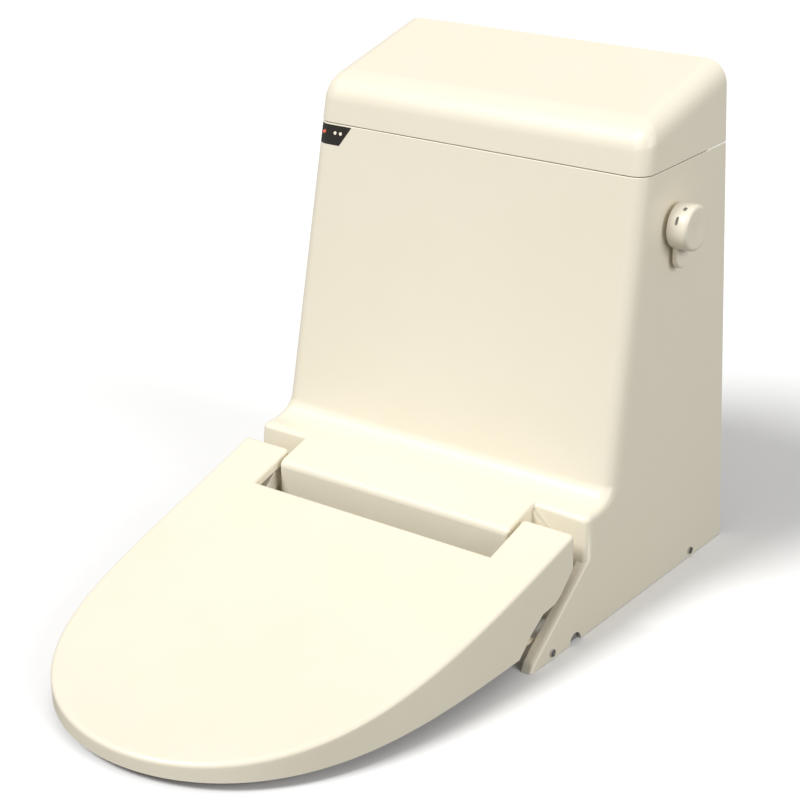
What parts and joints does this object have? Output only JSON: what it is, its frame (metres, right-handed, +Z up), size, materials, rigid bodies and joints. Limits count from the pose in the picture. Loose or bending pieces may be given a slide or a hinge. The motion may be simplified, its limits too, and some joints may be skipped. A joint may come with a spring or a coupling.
{
  "type": "electric bidet seat",
  "caption": "Shower-toilet upper unit: heated seat and lid hinged on a tall casing that holds the flush tank, side flush lever, washing nozzles and a lift-off top cover.",
  "frame": {"origin": "midway between the two fixing bolt holes, on the plane of the bowl rim", "axes": "+Z up, -Y towards the front of the lid, +X towards the flush lever"},
  "size_m": [0.4287, 0.689, 0.5],
  "materials": {
    "shell": "satin ABS moulding, ivory",
    "seat_plastic": "satin polypropylene moulding, ivory",
    "lever_plastic": "satin ABS moulding, ivory",
    "window": "smoked glossy window",
    "lamp": "clear tinted lens",
    "rear_plastic": "unpolished ivory moulding",
    "chassis_plastic": "grey glass-filled moulding",
    "tank_plastic": "pale polypropylene moulding",
    "valve_plastic": "white acetal moulding",
    "dark_plastic": "black moulding",
    "float_foam": "closed-cell foam",
    "nozzle_plastic": "polished white moulding",
    "gear_plastic": "natural acetal",
    "board": "green solder mask with components",
    "rubber": "moulded rubber",
    "pad_rubber": "grey moulded rubber",
    "steel": "stainless steel",
    "brass": "machined brass",
    "copper": "copper sheath",
    "foil": "aluminium foil",
    "hose_blue": "braided hose",
    "hose_red": "silicone hose"
  },
  "bodies": {
    "housing": {"main_casing": "shell", "back_panel": "rear_plastic", "chassis": "chassis_plastic", "casing_screws": "steel", "indicator_window": "window", "indicator_lamps": "lamp", "indicator_board": "board", "lid_damper": "dark_plastic", "seat_damper": "dark_plastic", "lever_bush": "lever_plastic", "lever_nut": "valve_plastic", "flush_tank": "tank_plastic", "flush_valve": "valve_plastic", "outlet_nut": "dark_plastic", "outlet_gasket": "rubber", "flapper_pin": "steel", "fill_valve": "valve_plastic", "float_pin": "steel", "water_inlet": "brass", "water_valve": "dark_plastic", "heater_tank": "valve_plastic", "heater_element": "copper", "drain_plug": "rubber", "cold_hose": "hose_blue", "warm_hose": "hose_red", "flow_selector": "dark_plastic", "nozzle_guide": "chassis_plastic", "nozzle_motors": "steel", "fan_housing": "dark_plastic", "fan_motor": "steel", "deodoriser_filter": "dark_plastic", "power_unit": "dark_plastic", "control_board": "board", "cable_gland": "rubber"},
    "top_cover": {"top_cover": "shell"},
    "seat": {"seat_upper": "seat_plastic", "seat_lower": "seat_plastic", "seat_heater": "foil", "seat_bumpers": "pad_rubber", "seat_hinge_pin": "steel"},
    "lid": {"lid": "shell", "lid_bumpers": "pad_rubber", "lid_hinge_pin": "steel"},
    "lever": {"flush_lever": "lever_plastic", "lever_shaft": "steel", "lever_arm": "brass"},
    "chain": {"lift_chain": "steel"},
    "flapper": {"flapper": "dark_plastic", "flapper_seal": "rubber"},
    "float": {"float_arm": "dark_plastic", "float_cup": "float_foam"},
    "rear_wash": {"rear_nozzle": "nozzle_plastic"},
    "front_wash": {"front_nozzle": "nozzle_plastic"},
    "rear_gear": {"rear_pinion": "gear_plastic"},
    "front_gear": {"front_pinion": "gear_plastic"},
    "fan": {"fan_impeller": "dark_plastic"}
  },
  "joints": [
    {"name": "top_cover_lift", "type": "slide", "parent": "housing", "child": "top_cover", "axis": [0, 0, 1], "range_m": [0, 0.15]},
    {"name": "seat_hinge", "type": "hinge", "parent": "housing", "child": "seat", "pos_m": [0, -0.07, 0.092], "axis": [-1, 0, 0], "range_deg": [0, 107]},
    {"name": "lid_hinge", "type": "hinge", "parent": "seat", "child": "lid", "pos_m": [0, -0.07, 0.092], "axis": [1, 0, 0], "range_deg": [-112, 0]},
    {"name": "lever_turn", "type": "hinge", "parent": "housing", "child": "lever", "pos_m": [0.2, 0.117, 0.364], "axis": [1, 0, 0], "range_deg": [0, 60], "stiffness_Nm_per_rad": 0.12, "springref_deg": -20.05},
    {"name": "chain_lift", "type": "slide", "parent": "housing", "child": "chain", "axis": [0, 0, 1], "range_m": [0, 0.0181]},
    {"name": "flapper_hinge", "type": "hinge", "parent": "housing", "child": "flapper", "pos_m": [0, 0.189, 0.076], "axis": [-1, 0, 0], "range_deg": [0, 24.1]},
    {"name": "float_hinge", "type": "hinge", "parent": "housing", "child": "float", "pos_m": [-0.093, 0.141, 0.36], "axis": [0, -1, 0], "range_deg": [0, 40]},
    {"name": "rear_nozzle_slide", "type": "slide", "parent": "housing", "child": "rear_wash", "axis": [0, -0.8192, -0.5736], "range_m": [0, 0.11]},
    {"name": "front_nozzle_slide", "type": "slide", "parent": "housing", "child": "front_wash", "axis": [0, -0.8192, -0.5736], "range_m": [0, 0.11]},
    {"name": "rear_pinion_spin", "type": "hinge", "parent": "housing", "child": "rear_gear", "pos_m": [-0.0095, -0.06122, 0.04776], "axis": [-1, 0, 0], "range_deg": [0, 1051]},
    {"name": "front_pinion_spin", "type": "hinge", "parent": "housing", "child": "front_gear", "pos_m": [0.0095, -0.06122, 0.04776], "axis": [-1, 0, 0], "range_deg": [0, 1051]},
    {"name": "fan_spin", "type": "hinge", "parent": "housing", "child": "fan", "pos_m": [0.12, -0.001, 0.02], "axis": [0, 0, 1], "continuous": true}
  ],
  "couplings": [
    {"joint": "chain_lift", "follows": "lever_turn", "m_per_rad": 0.017189},
    {"joint": "flapper_hinge", "follows": "lever_turn", "ratio": 0.4},
    {"joint": "rear_pinion_spin", "follows": "rear_nozzle_slide", "rad_per_m": 166.67},
    {"joint": "front_pinion_spin", "follows": "front_nozzle_slide", "rad_per_m": 166.67}
  ]
}
